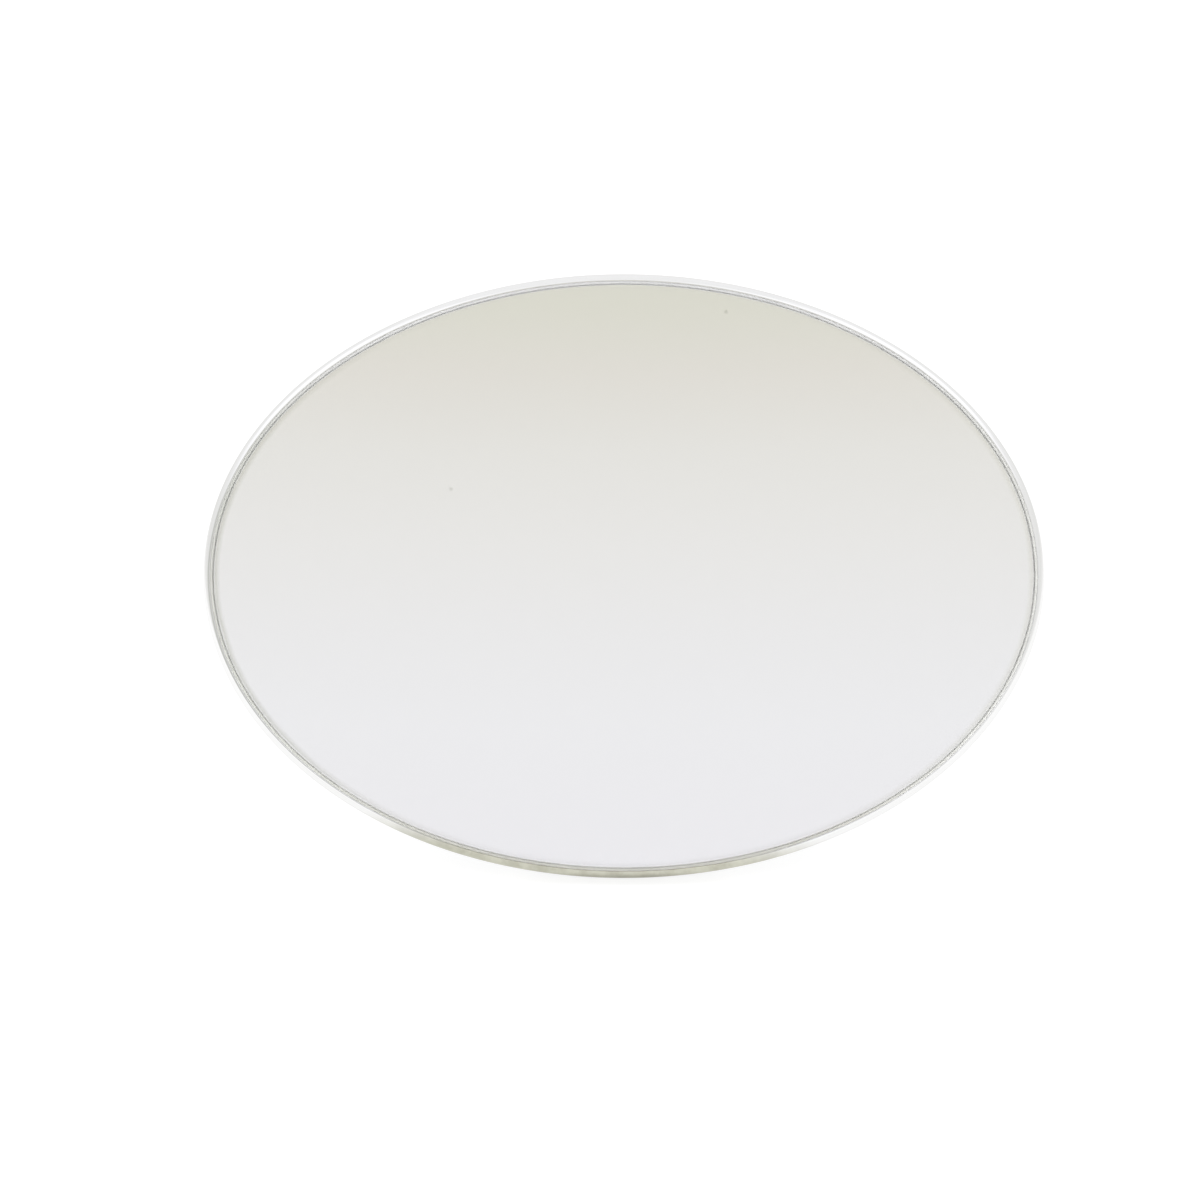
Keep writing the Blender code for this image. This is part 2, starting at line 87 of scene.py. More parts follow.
# Glass and silvering
GLASS_EDGE = 1.5 * MM
GLASS_FRONT = 1.1 * MM
GLASS_BACK = 4.1 * MM
SILVER_EDGE = 2 * MM
SILVER_BACK = 4.5 * MM
FOG_START = 3 * MM  # the silvering's fog thins from this inset
FOG_END = 6 * MM  # to this one
FOG_CLEAR = (3.5 * MM, 4.1 * MM)  # and is left out under the bead, whose reflection it would darken
SPECKS = ((34 * MM, 88 * MM), (-57.5 * MM, 29 * MM))  # in the silvering, from the oval's middle
SPECK_FADE = (0.3 * MM, 0.9 * MM)  # a speck fades out between these radii
# Edge colours for the sealant and the fogged silver. Their change from side to side, to the top and at the
# foot is painted shade.
EDGE_LEFT = (0.68, 0.69, 0.62)  # sealant and fogged silver, with painted shade: darkest at the left end
EDGE_RIGHT = (0.85, 0.85, 0.79)
EDGE_TOP = (0.94, 0.94, 0.93)
# at the oval's foot, painted shade too
SILVER_FOOT = (0.88, 0.88, 0.87)
SEALANT_FOOT = (0.5, 0.495, 0.44)

# Back plate
PLATE_FRONT = 7.8 * MM
PLATE_BACK = 8.8 * MM
PAN_BACK = 11.8 * MM
PAN_START = 8.5 * MM
PAN_FULL = 12.5 * MM
BEAD_INSET = 20.5 * MM  # pressed ring that stiffens the pan
BEAD_HALF = 2.2 * MM
BEAD_RISE = 0.7 * MM

# Hinge
BRACKET_FRONT = 12 * MM
BRACKET_BACK = 13.5 * MM
EYE = 4.6 * MM
EAR_INNER = 13.1 * MM
EAR_OUTER = 14.6 * MM
RIVETS = [(x, z) for x in (-22.5 * MM, 22.5 * MM) for z in (8.5 * MM, -8.5 * MM)]
BOLT = 2 * MM
BORE = 2.2 * MM
LEG_BORE = 2.15 * MM
GROOVE_DEPTH = 0.45 * MM  # in the rubber soles

# Leg
LEG_SHEET = 1.2 * MM
LEG_TOP_HALF = 18 * MM
LEG_FOOT_HALF = 36 * MM
LEG_TAIL = 10.5 * MM
LEG_END = -121.5 * MM
FLARE_START = -12 * MM
FLARE_END = -106 * MM
WEB_INNER = 5 * MM
WEB_OUTER = WEB_INNER + LEG_SHEET
FLANGE_EDGE = 0.2 * MM
RIB_HALF = 9 * MM
RIB_SIDE = 1.8 * MM
RIB_RISE = 1.2 * MM
RIB_TOP = -24 * MM
RIB_BOTTOM = -98 * MM

# Studio
MIRROR_MIDDLE = HEAD @ Vector((0, 0, 0))
SQUARE_ON = Vector((0, -math.cos(LEAN), math.sin(LEAN)))
ROOM = (  # the room's colour by the height of the direction
    (0.0, (1.1, 1.1, 1.1)),
    (0.08, (1.03, 1.03, 1.02)),
    (0.24, (0.95, 0.95, 0.94)),
    (0.5, (1.03, 1.03, 1.03)),
    (0.9, (1.08, 1.08, 1.09)),
)
# Patches in the room: turn round the oval, angle off the line square to the glass, outer and inner
# edge, all in degrees, and colour. The dark one greys the rim's left end, the rest light its top.
PATCHES = [(188, 22, 25, 9, (0.66, 0.67, 0.63))]
PATCHES += [(turn, off, 20, 8, (1.28, 1.28, 1.31)) for turn in (131, 52) for off in (36, 58)]
PANEL_EDGE = (0.935, 0.978)  # cosines of the angles at which the panel ends and is at its full strength
PANEL = (  # the soft panel's colour by the height of the direction
    (0.2, (0.893, 0.884, 0.932)),
    (0.266, (0.894, 0.893, 0.922)),
    (0.297, (0.878, 0.874, 0.89)),
    (0.328, (0.86, 0.852, 0.848)),
    (0.358, (0.83, 0.82, 0.797)),
    (0.385, (0.79, 0.768, 0.722)),
    (0.405, (0.752, 0.745, 0.67)),
    (0.45, (0.73, 0.725, 0.65)),
)


# ---------------------------------------------------------------- shapes


def piece(name, bm, where, body, material, *nodes, slot=None, sharp=35):
    """Makes bm a piece that rides on a body and stands for the CAD nodes given."""
    bmesh.ops.recalc_face_normals(bm, faces=bm.faces)
    mesh = bpy.data.meshes.new(name)
    bm.to_mesh(mesh)
    bm.free()
    mesh.transform(where)
    mesh.shade_smooth()
    mesh.set_sharp_from_angle(angle=math.radians(sharp))
    mesh.materials.append(material)
    obj = bpy.data.objects.new(name, mesh)
    bpy.context.scene.collection.objects.link(obj)
    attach(obj, body)
    if nodes:
        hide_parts(*nodes)
    return obj


def loft(rings, closed=False, caps=True):
    """Skins a list of rings, with a cap on each end or, closed, joined from last to first."""
    bm = bmesh.new()
    grid = [[bm.verts.new(point) for point in ring] for ring in rings]
    pairs = list(zip(grid, grid[1:]))
    if closed:
        pairs.append((grid[-1], grid[0]))
    for low, high in pairs:
        for i in range(len(low)):
            j = (i + 1) % len(low)
            bm.faces.new((low[i], low[j], high[j], high[i]))
    if caps and not closed:
        bm.faces.new(grid[0])
        bm.faces.new(grid[-1])
    return bm


def oval_point(turn, inset, depth):
    """A point on the oval at this turn, moved in along the outline's normal."""
    half_width, half_height = OVAL_WIDTH / 2, OVAL_HEIGHT / 2
    outline = Vector((half_width * math.cos(turn), 0, half_height * math.sin(turn)))
    normal = Vector((math.cos(turn) / half_width, 0, math.sin(turn) / half_height)).normalized()
    return outline - inset * normal + Vector((0, depth, 0))


def oval_body(section, steps, closed=False):
    """A body that follows the oval, from its section as (inset, depth) points."""
    turns = [2 * math.pi * step / steps for step in range(steps)]
    return loft([[oval_point(turn, *point) for turn in turns] for point in section], closed)


def arc(centre, radius, start, end, steps):
    """Points on an arc, with its angles in degrees."""
    for step in range(steps + 1):
        turn = math.radians(start + (end - start) * step / steps)
        yield centre[0] + radius * math.cos(turn), centre[1] + radius * math.sin(turn)


def turned(profile, axis, closed=False, steps=64):
    """Turns (radius, distance along the axis) points about the X or Y axis."""
    rings = []
    for radius, along in profile:
        turns = [2 * math.pi * step / steps for step in range(steps)]
        circle = [(radius * math.cos(turn), radius * math.sin(turn)) for turn in turns]
        rings.append([Vector((along, a, b)) if axis == "X" else Vector((a, along, b)) for a, b in circle])
    return loft(rings, closed)


def prism(section, axis, start, end):
    """Pushes a flat outline along X, Y or Z. Its two coordinates are the other axes, in order."""
    def place(point, along):
        values = list(point)
        values.insert("XYZ".index(axis), along)
        return Vector(values)

    return loft([[place(point, along) for point in section] for along in (start, end)])


def rounded_outline(points, radius, steps=6):
    """A flat outline with each of its corners rounded to this radius."""
    outline = []
    for i, point in enumerate(points):
        here = Vector(point)
        before = (Vector(points[i - 1]) - here).normalized()
        after = (Vector(points[(i + 1) % len(points)]) - here).normalized()
        half = before.angle(after) / 2
        start = here + before * radius / math.tan(half)
        end = here + after * radius / math.tan(half)
        centre = here + (before + after).normalized() * radius / math.sin(half)
        for step in range(steps + 1):
            direction = (start - centre).slerp(end - centre, step / steps).normalized()
            outline.append(tuple(centre + radius * direction))
    return outline


def join(bm, *others):
    """Puts the other bmeshes' bodies beside bm's own."""
    for other in others:
        mesh = bpy.data.meshes.new("joining")
        other.to_mesh(mesh)
        other.free()
        bm.from_mesh(mesh)
        bpy.data.meshes.remove(mesh)
    return bm


def moved(bm, x=0.0, y=0.0, z=0.0):
    bmesh.ops.translate(bm, verts=bm.verts, vec=(x, y, z))
    return bm


def combine(bm, other, operation):
    """bm with the other shape cut from it or joined on by an exact Boolean, as a new bmesh."""
    objects = []
    for shape in (bm, other):
        bmesh.ops.recalc_face_normals(shape, faces=shape.faces)
        mesh = bpy.data.meshes.new("working")
        shape.to_mesh(mesh)
        shape.free()
        objects.append(bpy.data.objects.new("working", mesh))
        bpy.context.scene.collection.objects.link(objects[-1])
    modifier = objects[0].modifiers.new("Boolean", "BOOLEAN")
    modifier.operation = operation
    modifier.object = objects[1]
    result = bmesh.new()
    result.from_object(objects[0], bpy.context.evaluated_depsgraph_get())
    for obj in objects:
        mesh = obj.data
        bpy.data.objects.remove(obj)
        bpy.data.meshes.remove(mesh)
    bmesh.ops.remove_doubles(result, verts=result.verts, dist=0.0005 * MM)
    bmesh.ops.dissolve_degenerate(result, edges=result.edges, dist=0.0005 * MM)
    return result


def soften(obj, width, segments=3, angle=35):
    """Rounds a piece's edges with a Bevel, and keeps its flat faces flat."""
    modifier = obj.modifiers.new("Soft edges", "BEVEL")
    modifier.width = width
    modifier.segments = segments
    modifier.limit_method = "ANGLE"
    modifier.angle_limit = math.radians(angle)
    modifier.harden_normals = True
    return obj


def smooth_step(value):
    value = min(max(value, 0.0), 1.0)
    return value * value * (3 - 2 * value)


# ------------------------------------------------------------- materials


class Nodes:
    """Adds nodes to a tree. A setting with a leading underscore is the node's own, the rest are inputs."""

    def __init__(self, tree, coordinates):
        self.tree = tree
        self.place = tree.nodes.new("ShaderNodeTexCoord").outputs[coordinates]

    def node(self, kind, **settings):
        made = self.tree.nodes.new(kind)
        for name, value in settings.items():
            if name.startswith("_"):
                setattr(made, name[1:], value)
            elif hasattr(value, "links"):
                self.tree.links.new(value, made.inputs[name.replace("_", " ")])
            else:
                made.inputs[name.replace("_", " ")].default_value = value
        return made

    def axis(self, name):
        """One of the coordinates on its own."""
        return self.node("ShaderNodeSeparateXYZ", Vector=self.place).outputs[name]

    def noise(self, scale, detail=3.0, roughness=0.5, place=None):
        made = self.node(
            "ShaderNodeTexNoise", Vector=place or self.place, Scale=scale, Detail=detail, Roughness=roughness
        )
        return made.outputs["Fac"]

    def spread(self, value, low, high, start=0.0, end=1.0, kind="LINEAR"):
        """value's range from start to end, mapped to low to high."""
        made = self.node(
            "ShaderNodeMapRange",
            _interpolation_type=kind,
            Value=value,
            From_Min=start,
            From_Max=end,
            To_Min=low,
            To_Max=high,
        )
        return made.outputs["Result"]

    def sum(self, operation, first, second):
        """Two values through one Math operation."""
        made = self.node("ShaderNodeMath", _operation=operation)
        for socket, value in zip(made.inputs, (first, second)):
            if hasattr(value, "links"):
                self.tree.links.new(value, socket)
            else:
                socket.default_value = value
        return made.outputs["Value"]

    def along(self, direction):
        """How far the coordinates reach along this direction."""
        made = self.node("ShaderNodeVectorMath", _operation="DOT_PRODUCT")
        self.tree.links.new(self.place, made.inputs[0])
        made.inputs[1].default_value = direction
        return made.outputs["Value"]

    def away(self, point):
        """How far the coordinates are from this point."""
        made = self.node("ShaderNodeVectorMath", _operation="DISTANCE")
        self.tree.links.new(self.place, made.inputs[0])
        made.inputs[1].default_value = point
        return made.outputs["Value"]

    def shades(self, value, stops):
        """A ramp of colours, from (value, colour) stops."""
        ramp = self.node("ShaderNodeValToRGB", Fac=value)
        elements = ramp.color_ramp.elements
        while len(elements) < len(stops):
            elements.new(0.5)
        for element, (position, colour) in zip(elements, stops):
            element.position = position
            element.color = (*colour, 1)
        return ramp.outputs["Color"]

    def mix(self, factor, first, second):
        made = self.node("ShaderNodeMix", _data_type="RGBA", Factor=factor)
        for socket, colour in ((made.inputs[6], first), (made.inputs[7], second)):
            if hasattr(colour, "links"):
                self.tree.links.new(colour, socket)
            else:
                socket.default_value = (*colour, 1)
        return made.outputs[2]


class Finish(Nodes):
    """One procedural material, built up from its Principled shader."""

    def __init__(self, name, colour, metallic, roughness):
        self.material = bpy.data.materials.new(name)
        self.material.use_nodes = True
        super().__init__(self.material.node_tree, "Object")
        self.shader = self.tree.nodes["Principled BSDF"]
        self.shader.inputs["Base Color"].default_value = (*colour, 1)
        self.shader.inputs["Metallic"].default_value = metallic
        self.shader.inputs["Roughness"].default_value = roughness

    def stretched(self, scale):
        """The object's coordinates, scaled differently along each axis."""
        return self.node("ShaderNodeMapping", Vector=self.place, Scale=scale).outputs["Vector"]

    def in_oval(self, half_width, half_height):
        """How far out in the mirror's face, after its two axes are divided by these lengths."""
        face = self.node(
            "ShaderNodeMapping",
            _vector_type="TEXTURE",
            Vector=self.place,
            Location=MIRROR_MIDDLE,
            Rotation=(-LEAN, 0, 0),
            Scale=(half_width, 1e6, half_height),
        )
        length = self.node("ShaderNodeVectorMath", _operation="LENGTH")
        self.tree.links.new(face.outputs["Vector"], length.inputs[0])
        return length.outputs["Value"]

    def inset(self):
        """How far in from the oval's outline, nearly, in metres."""
        half_width, half_height = OVAL_WIDTH / 2, OVAL_HEIGHT / 2
        out = self.in_oval(half_width, half_height)
        slope = self.in_oval(half_width**2, half_height**2)
        return self.sum("DIVIDE", self.sum("MULTIPLY", out, self.sum("SUBTRACT", 1.0, out)), slope)

    def drive(self, name, value):
        self.tree.links.new(value, self.shader.inputs[name])

    def bumps(self, *layers):
        """Bump nodes in a chain, each from (height, how far its whites stand up)."""
        normal = None
        for height, distance in layers:
            made = self.node("ShaderNodeBump", Height=height, Distance=distance, Strength=1.0)
            if normal:
                self.tree.links.new(normal, made.inputs["Normal"])
            normal = made.outputs["Normal"]
        self.drive("Normal", normal)


def polished_chrome():
    """Bright plating on rolled strip. Its lower part is painted duller and yellower by the counter, a painted
    reflection of a dark counter that reaches higher up at the left, with a darker painted shade nearest the
    counter.
    """
    finish = Finish("polished_chrome", (0.78, 0.78, 0.77), 1.0, 0.05)
    haze = finish.mix(finish.noise(35, 2), (0.77, 0.77, 0.76), (0.82, 0.82, 0.82))
    blotch = finish.spread(finish.noise(140, 4, 0.6), 0, 1, 0.35, 0.65, "SMOOTHSTEP")
    # painted reflection of a dark counter, in two olive tones mixed by the noise
    painted_counter_reflection = finish.mix(blotch, (0.45, 0.445, 0.37), (0.55, 0.545, 0.46))
    # painted shade where the strip nearly meets the counter
    painted_counter_shade = finish.mix(blotch, (0.28, 0.275, 0.225), (0.35, 0.345, 0.285))
    height = finish.axis("Z")
    slope = 0.06  # of the painted reflection's upper edge, down to the right
    slanted = finish.sum("ADD", height, finish.sum("MULTIPLY", finish.axis("X"), slope))
    # low masks in the painted reflection below an edge slanting down to the right; the next mask keeps the
    # painted shade to the lowest few millimetres
    low = finish.spread(slanted, 1, 0, 9 * MM, 21 * MM, "SMOOTHSTEP")
    counter_shade_mask = finish.spread(height, 1, 0, 3.2 * MM, 5.8 * MM, "SMOOTHSTEP")
    finish.drive("Base Color", finish.mix(counter_shade_mask, finish.mix(low, haze, painted_counter_reflection), painted_counter_shade))
    polish = finish.noise(900, 4, 0.65, finish.stretched((1, 0.2, 1)))
    finish.drive("Roughness", finish.spread(polish, 0.04, 0.14, 0.3, 0.75))
    finish.bumps((finish.noise(60, 2), 0.12 * MM), (polish, 0.0015 * MM))
    return finish.material


def clear_glass():
    """Clear float glass, with plain values. Its values are plain, so that the exporter
    keeps it as glass.
    """
    finish = Finish("clear_glass", (0.99, 0.99, 0.985), 0.0, 0.0)
    finish.shader.inputs["Transmission Weight"].default_value = 1.0
    finish.shader.inputs["IOR"].default_value = 1.52
    return finish.material


def edge_tint_and_painted_shade(finish, foot):
    """Painted shade round the mirror's edge: olive grey at the oval's left end, paler at the right and the
    top, with its own colour at the foot.
    """
    rightward = finish.spread(finish.axis("X"), 0, 1, -130 * MM, 130 * MM)
    sides = finish.mix(rightward, EDGE_LEFT, EDGE_RIGHT)
    height = finish.axis("Z")
    upper = finish.mix(finish.spread(height, 0, 1, 130 * MM, 190 * MM, "SMOOTHSTEP"), sides, EDGE_TOP)
    return finish.mix(finish.spread(height, 1, 0, 5 * MM, 50 * MM, "SMOOTHSTEP"), upper, foot)


def silvering():
    """Silver behind glass, with two faint specks, and fogged round its edge; the fog's colour carries painted
    shade by side and at the foot.
    """
    finish = Finish("silvering", (0.96, 0.96, 0.95), 1.0, 0.0)
    silver_colour = finish.mix(finish.noise(9, 2), (0.955, 0.957, 0.95), (0.965, 0.965, 0.96))
    for x, z in SPECKS:
        speck = finish.spread(finish.away(HEAD @ Vector((x, GLASS_BACK, z))), 1, 0, *SPECK_FADE)
        silver_colour = finish.mix(speck, silver_colour, (0.82, 0.82, 0.8))
    reach = finish.sum("ADD", finish.inset(), finish.spread(finish.noise(90, 3), -0.35 * MM, 0.35 * MM))
    fog = finish.spread(reach, 1, 0, FOG_START, FOG_END, "SMOOTHSTEP")
    fog = finish.sum("MULTIPLY", fog, finish.spread(reach, 0, 1, *FOG_CLEAR, "SMOOTHSTEP"))
    # the fog takes the edge colour, with its painted shade
    finish.drive("Base Color", finish.mix(fog, silver_colour, edge_tint_and_painted_shade(finish, SILVER_FOOT)))
    finish.drive("Roughness", finish.spread(fog, 0, 0.16))
    return finish.material


def powder_coat():
    """Black powder coat: a satin skin with an orange peel, grey flecks and a trace of dust."""
    finish = Finish("powder_coat", (0.02, 0.02, 0.021), 0.0, 0.42)
    dust = finish.noise(26, 5, 0.62)
    fleck = finish.spread(finish.noise(1500, 2, 0.7), 0, 1, 0.6, 0.72)
    skin = finish.mix(finish.spread(dust, 0, 1, 0.35, 0.75), (0.01, 0.01, 0.011), (0.03, 0.03, 0.031))
    finish.drive("Base Color", finish.mix(fleck, skin, (0.075, 0.075, 0.078)))
    finish.drive("Roughness", finish.spread(dust, 0.3, 0.52, 0.3, 0.7))
    finish.bumps((finish.noise(620, 3, 0.5), 0.16 * MM), (finish.noise(3000, 2), 0.012 * MM))
    finish.shader.inputs["Specular IOR Level"].default_value = 0.4
    return finish.material


def zinc():
    """Zinc plating, passivated: pale grey, a little blue and straw in places, softly brushed."""
    finish = Finish("zinc", (0.66, 0.67, 0.68), 1.0, 0.32)
    cloud = finish.noise(160, 4, 0.6)
    finish.drive("Base Color", finish.mix(cloud, (0.56, 0.58, 0.61), (0.74, 0.73, 0.69)))
    brushed = finish.noise(1500, 4, 0.7, finish.stretched((0.12, 1, 1)))
    finish.drive("Roughness", finish.spread(brushed, 0.22, 0.46, 0.25, 0.75))
    finish.bumps((brushed, 0.006 * MM))
    return finish.material


def black_oxide():
    """Blackened steel with a film of oil, worn brighter in places."""
    finish = Finish("black_oxide", (0.1, 0.1, 0.105), 1.0, 0.34)
    wear = finish.noise(420, 5, 0.65)
    worn = finish.spread(wear, 0, 1, 0.5, 0.72)
    finish.drive("Base Color", finish.mix(worn, (0.09, 0.09, 0.095), (0.32, 0.31, 0.3)))
    finish.drive("Roughness", finish.spread(wear, 0.42, 0.26, 0.4, 0.7))
    finish.bumps((wear, 0.008 * MM))
    return finish.material


def nylon():
    """Natural nylon, satin."""
    finish = Finish("nylon", (0.8, 0.79, 0.73), 0.0, 0.42)
    cloud = finish.noise(240, 3)
    finish.drive("Base Color", finish.mix(cloud, (0.76, 0.75, 0.69), (0.84, 0.83, 0.78)))
    finish.drive("Roughness", finish.spread(cloud, 0.36, 0.5))
    finish.bumps((finish.noise(2600, 2), 0.006 * MM))
    return finish.material


def rubber():
    """Moulded black rubber with a fine spark-eroded grain and a grey bloom."""
    finish = Finish("rubber", (0.02, 0.02, 0.021), 0.0, 0.7)
    bloom = finish.noise(90, 5, 0.65)
    pale = finish.spread(bloom, 0, 1, 0.4, 0.8)
    finish.drive("Base Color", finish.mix(pale, (0.018, 0.018, 0.019), (0.045, 0.045, 0.046)))
    finish.drive("Roughness", finish.spread(bloom, 0.62, 0.8, 0.3, 0.7))
    finish.bumps((finish.noise(2400, 3, 0.6), 0.02 * MM))
    return finish.material


def sealant():
    """Pale sealant, cured satin and faintly translucent, its colour carrying painted shade by side and at the
    foot.
    """
    finish = Finish("sealant", EDGE_TOP, 0.0, 0.45)
    smear = finish.noise(160, 4, 0.6)
    pale = finish.spread(smear, 0, 0.2)
    # the edge colour brings painted shade by side and at the foot
    finish.drive("Base Color", finish.mix(pale, edge_tint_and_painted_shade(finish, SEALANT_FOOT), EDGE_TOP))
    finish.drive("Roughness", finish.spread(smear, 0.35, 0.6))
    finish.shader.inputs["Subsurface Weight"].default_value = 0.75
    finish.shader.inputs["Subsurface Radius"].default_value = (1, 1, 1)
    finish.shader.inputs["Subsurface Scale"].default_value = 0.8 * MM
    return finish.material


def foam():
    """Closed-cell foam sheet."""
    finish = Finish("foam", (0.12, 0.12, 0.13), 0.0, 0.95)
    cells = finish.node("ShaderNodeTexVoronoi", Vector=finish.place, Scale=1800.0)
    finish.drive("Base Color", finish.mix(cells.outputs["Distance"], (0.14, 0.14, 0.15), (0.08, 0.08, 0.085)))
    finish.bumps((cells.outputs["Distance"], 0.05 * MM))
    return finish.material


# ------------------------------------------------------------ head pieces


def rim(material):
    """The rolled strip: the wall, and a round bend that ends in a cut edge over the glass."""
    centre = (ROLL, ROLL)
    burr = 0.12 * MM
    corner = 0.25 * MM
    section = list(arc(centre, ROLL - HAIR, 180, 269, 56))
    section += arc((ROLL - burr, HAIR + burr), burr, 270, 360, 5)
    section += arc((ROLL - burr, SHEET - burr), burr, 0, 90, 5)
    section += arc(centre, ROLL - SHEET, 269, 180, 24)
    section += arc((SHEET - corner, RIM_DEPTH - corner), corner, 0, 90, 4)
    section += arc((corner + HAIR, RIM_DEPTH - corner), corner, 90, 180, 4)
    tabs = [rim_tab(2 * math.pi * (tab + 0.5) / TAB_COUNT) for tab in range(TAB_COUNT)]
    shape = combine(oval_body(section, RIM_STEPS, closed=True), join(bmesh.new(), *tabs), "UNION")
    piece("rim_polished", shape, HEAD, "head", material, "rim_band", slot="polished_rim")


def sealant_bead(material):
    """The bead between the rolled edge and the glass, hollowed where a finger ran along it."""
    root, lip, toe = ROLL - 0.5 * MM, ROLL + 0.01 * MM, ROLL + 0.85 * MM
    seat, top = GLASS_FRONT - 0.02 * MM, 0.28 * MM
    hollow = (lip + 0.2 * MM, seat - 0.15 * MM)  # the curve from toe to lip bends towards this
    section = [(root, SHEET + 0.08 * MM), (root, seat), (toe, seat)]
    steps = 8
    for i in range(1, steps + 1):
        share = i / steps
        weights = ((1 - share) ** 2, 2 * share * (1 - share), share**2)
        points = ((toe, seat), hollow, (lip, top))
        section.append(tuple(sum(w * point[k] for w, point in zip(weights, points)) for k in (0, 1)))
    section.append((lip, SHEET + 0.03 * MM))
    piece("sealant_bead", oval_body(section, RIM_STEPS, closed=True), HEAD, "head", material)


def rim_tab(middle):
    """A tongue of the wall bent in over the back plate, with a rounded end."""
    root = RIM_DEPTH - 1.5 * MM
    back = RIM_DEPTH + SHEET
    span = 2 * math.pi * TAB_SPAN
    edge = 0.3 * MM  # rounding of the tongue's cut edges
    stations = []
    count = 16
    for i in range(count + 1):
        across = 2 * i / count - 1
        tip = TAB_TIP - 1.6 * MM * (1 - math.sqrt(1 - abs(across) ** 5 * 0.98))
        section = [(HAIR, root)]
        section += arc((SHEET, RIM_DEPTH), SHEET - HAIR, 180, 90, 8)
        section += arc((tip - edge, back - edge), edge - HAIR, 90, 0, 3)
        section += arc((tip - edge, RIM_DEPTH + edge), edge - HAIR, 0, -90, 3)
        section += [(SHEET - HAIR, RIM_DEPTH + HAIR), (SHEET - HAIR, root)]
        stations.append([oval_point(middle + across * span / 2, *point) for point in section])
    return loft(stations)


def glass(material):
    seam = 0.5 * MM
    section = [(GLASS_EDGE + seam, GLASS_FRONT), (GLASS_EDGE, GLASS_FRONT + seam)]
    section += [(GLASS_EDGE, GLASS_BACK - seam), (GLASS_EDGE + seam, GLASS_BACK)]
    pane = oval_body(section, RIM_STEPS // 2)
    piece("mirror_pane", pane, HEAD, "head", material, "mirror_glass", slot="mirror_glass", sharp=20)


def silver(material):
    front = GLASS_BACK + 0.02 * MM
    layer = oval_body([(SILVER_EDGE, front), (SILVER_EDGE, SILVER_BACK)], RIM_STEPS // 2)
    piece("silver_layer", layer, HEAD, "head", material, "silver_backing", slot="silvering", sharp=20)


def plate_back(inset):
    """How far back the plate's rear face stands: flange, sloping wall, pan and pressed ring."""
    rise = smooth_step((inset - PAN_START) / (PAN_FULL - PAN_START))
    ring = smooth_step(1 - abs(inset - BEAD_INSET) / BEAD_HALF)
    return PLATE_BACK + (PAN_BACK - PLATE_BACK) * rise + BEAD_RISE * ring


def back_plate(material):
    edge = 0.15 * MM  # broken edge of the flange
    insets = [1.2 * MM, 1.2 * MM + edge, PAN_START - 0.4 * MM]
    insets += [PAN_START + (PAN_FULL - PAN_START) * i / 14 for i in range(15)]
    insets += [BEAD_INSET + BEAD_HALF * i / 8 for i in range(-8, 9)]
    insets += [BEAD_INSET + 6 * MM]
    outer = [(inset, plate_back(inset)) for inset in insets]
    outer[0] = (insets[0], PLATE_BACK - edge)
    inner = [(inset, plate_back(inset) - (PLATE_BACK - PLATE_FRONT)) for inset in insets]
    inner[0] = (insets[0], PLATE_FRONT + edge)
    shape = oval_body(outer[::-1] + inner, RIM_STEPS // 2)
    piece("pressed_back_plate", shape, HEAD, "head", material, "back_plate", slot="black_powder_coat")


def bracket(material):
    """A plate with two ears lanced out of its middle and bent up."""
    half_width, half_height, corner = 28 * MM, 14 * MM, 4 * MM
    corners = [(half_width, half_height), (-half_width, half_height)]
    corners += [(-half_width, -half_height), (half_width, -half_height)]
    plate = prism(rounded_outline(corners, corner, 10), "Y", BRACKET_FRONT, BRACKET_BACK)
    window_x, window_z = EAR_INNER - 0.2 * MM, EYE
    corners = [(window_x, window_z), (-window_x, window_z), (-window_x, -window_z), (window_x, -window_z)]
    window = prism(rounded_outline(corners, 1 * MM), "Y", BRACKET_FRONT - 1 * MM, BRACKET_BACK + 1 * MM)
    plate = combine(plate, window, "DIFFERENCE")
    ear = list(arc((HINGE_DEPTH, 0), EYE, -90, 90, 32))
    ear += [(BRACKET_FRONT + 0.4 * MM, EYE), (BRACKET_FRONT + 0.4 * MM, -EYE)]
    ears = [prism(ear, "X", side * EAR_INNER, side * EAR_OUTER) for side in (-1, 1)]
    shape = combine(plate, join(bmesh.new(), *ears), "UNION")
    bore = moved(turned([(BORE, -20 * MM), (BORE, 20 * MM)], "X"), y=HINGE_DEPTH)
    shape = moved(combine(shape, bore, "DIFFERENCE"), z=HINGE_RISE)
    made = piece("bracket_plate", shape, HEAD, "head", material, "hinge_bracket", slot="zinc_plate")
    soften(made, 0.2 * MM)


def rivets(material):
    """Dome rivets: a low round head with a small flat where the set struck it."""
    seat, tail = BRACKET_BACK + 0.05 * MM, PAN_BACK - 1.2 * MM
    flat, dome, rise, shank = 0.6 * MM, 2.4 * MM, 1.3 * MM, 1.6 * MM
    profile = [(flat, seat + rise)]
    profile += [(flat + dome * math.sin(t), seat + rise * math.cos(t)) for t in quarter(12)]
    profile += [(shank, seat), (shank, tail), (2.8 * MM, tail), (2.6 * MM, tail - 0.8 * MM)]
    for number, (x, z) in enumerate(RIVETS, 1):
        shape = moved(turned(profile, "Y", steps=48), x=x, z=HINGE_RISE + z)
        node = f"bracket_rivet_{number}"
        piece(f"dome_rivet_{number}", shape, HEAD, "head", material, node, slot="zinc_plate")


def quarter(steps):
    """Angles from just past 0 to a right angle."""
    return [math.pi / 2 * step / steps for step in range(1, steps + 1)]


def counter_line(depth, frame_matrix):
    """The height along Z, in a leaning frame, at which a point of this depth meets the counter."""
    low, high = frame_matrix @ Vector((0, depth, 0)), frame_matrix @ Vector((0, depth, 1))
    above = 0.002 * MM  # keeps the fine sole just clear of the counter
    return (above - low.z) / (high.z - low.z)


